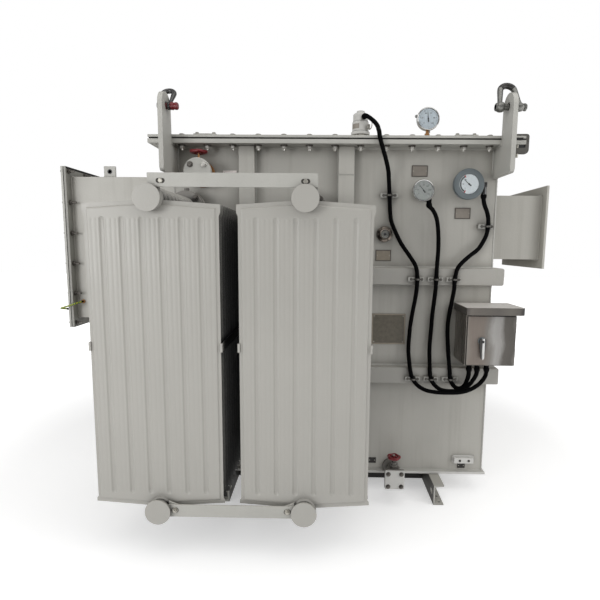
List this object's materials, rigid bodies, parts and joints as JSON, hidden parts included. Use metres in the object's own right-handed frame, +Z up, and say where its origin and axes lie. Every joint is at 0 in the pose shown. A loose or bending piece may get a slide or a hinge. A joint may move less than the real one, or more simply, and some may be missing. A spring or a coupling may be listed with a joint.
{
  "type": "power transformer",
  "caption": "Oil-filled power transformer with fluted panel radiators, lifting lugs, side throats for enclosed terminals and a control box on its front wall.",
  "frame": {"origin": "on the ground, at the centre of the footprint box", "axes": "+X along the tank towards the open throat, +Y from the instrument side to the rear side, +Z up"},
  "size_m": [2.5534, 2.028, 1.9593],
  "materials": {
    "grey_paint": "satin light grey paint",
    "dark_paint": "satin black paint",
    "galvanised_steel": "dull zinc grey",
    "stainless_steel": "brushed stainless steel",
    "black_rubber": "matt black",
    "brass": "plain brass",
    "red_paint": "gloss red paint",
    "gauge_grey": "satin dark grey",
    "chrome": "polished",
    "porcelain": "brown glaze",
    "jumper_green": "yellow and green sleeve"
  },
  "bodies": {
    "transformer": {"base_plate": "grey_paint", "skid_left": "grey_paint", "skid_right": "grey_paint", "cross_member_front": "grey_paint", "cross_member_rear": "grey_paint", "front_wall": "grey_paint", "rear_wall": "grey_paint", "left_wall": "grey_paint", "right_wall": "grey_paint", "upper_belt": "grey_paint", "lower_belt": "grey_paint", "tank_rim": "grey_paint", "cover_gasket": "black_rubber", "tank_cover": "grey_paint", "handhole_cover_left": "grey_paint", "handhole_cover_right": "grey_paint", "front_radiator_left": "grey_paint", "front_radiator_right": "grey_paint", "rear_radiator_left": "grey_paint", "rear_radiator_right": "grey_paint", "front_top_tie_bar": "grey_paint", "front_bottom_tie_bar": "grey_paint", "rear_top_tie_bar": "grey_paint", "rear_bottom_tie_bar": "grey_paint", "front_lifting_lug_left": "grey_paint", "front_lifting_lug_right": "grey_paint", "rear_lifting_lug_left": "grey_paint", "rear_lifting_lug_right": "grey_paint", "front_cover_clamp": "galvanised_steel", "rear_cover_clamp": "galvanised_steel", "left_throat": "grey_paint", "left_throat_blank_plate": "grey_paint", "throat_eye_plate": "grey_paint", "right_throat": "grey_paint", "low_voltage_bushings": "porcelain", "pressure_relief_device": "galvanised_steel", "pressure_gauge": "chrome", "thermometer": "chrome", "oil_level_gauge": "gauge_grey", "oil_sight_glass": "chrome", "terminal_box": "stainless_steel", "terminal_box_lid": "stainless_steel", "upper_valve": "brass", "drain_valve": "grey_paint", "conduit_relief": "black_rubber", "conduit_thermometer": "black_rubber", "conduit_level": "black_rubber", "bonding_jumper": "jumper_green"},
    "door": {"terminal_box_door": "stainless_steel"},
    "handle": {"door_handle": "gauge_grey"},
    "upper_wheel": {"upper_valve_handwheel": "red_paint"},
    "drain_wheel": {"drain_valve_handwheel": "red_paint"},
    "left_shackle": {"shackle_left_bow": "dark_paint", "shackle_left_pin": "red_paint"},
    "right_shackle": {"shackle_right_bow": "galvanised_steel", "shackle_right_pin": "galvanised_steel"}
  },
  "joints": [
    {"name": "door_hinge", "type": "hinge", "parent": "transformer", "child": "door", "pos_m": [0.99925, -0.6226, 0.823], "axis": [0, 0, 1], "range_deg": [0, 110]},
    {"name": "handle_turn", "type": "hinge", "parent": "door", "child": "handle", "pos_m": [0.84575, -0.6309, 0.823], "axis": [0, -1, 0], "range_deg": [0, 90]},
    {"name": "upper_wheel_turn", "type": "hinge", "parent": "transformer", "child": "upper_wheel", "pos_m": [-0.44625, -0.52, 1.655], "axis": [0, 0, 1], "range_deg": [0, 1350]},
    {"name": "drain_wheel_turn", "type": "hinge", "parent": "transformer", "child": "drain_wheel", "pos_m": [0.47975, -0.555, 0.222], "axis": [0, 0, 1], "range_deg": [0, 1350]},
    {"name": "left_shackle_swing", "type": "hinge", "parent": "transformer", "child": "left_shackle", "pos_m": [-0.57325, -0.59365, 1.8413], "axis": [1, 0, 0], "range_deg": [-68, 162]},
    {"name": "right_shackle_swing", "type": "hinge", "parent": "transformer", "child": "right_shackle", "pos_m": [0.92875, -0.59365, 1.8413], "axis": [1, 0, 0], "range_deg": [-83, 147]}
  ]
}
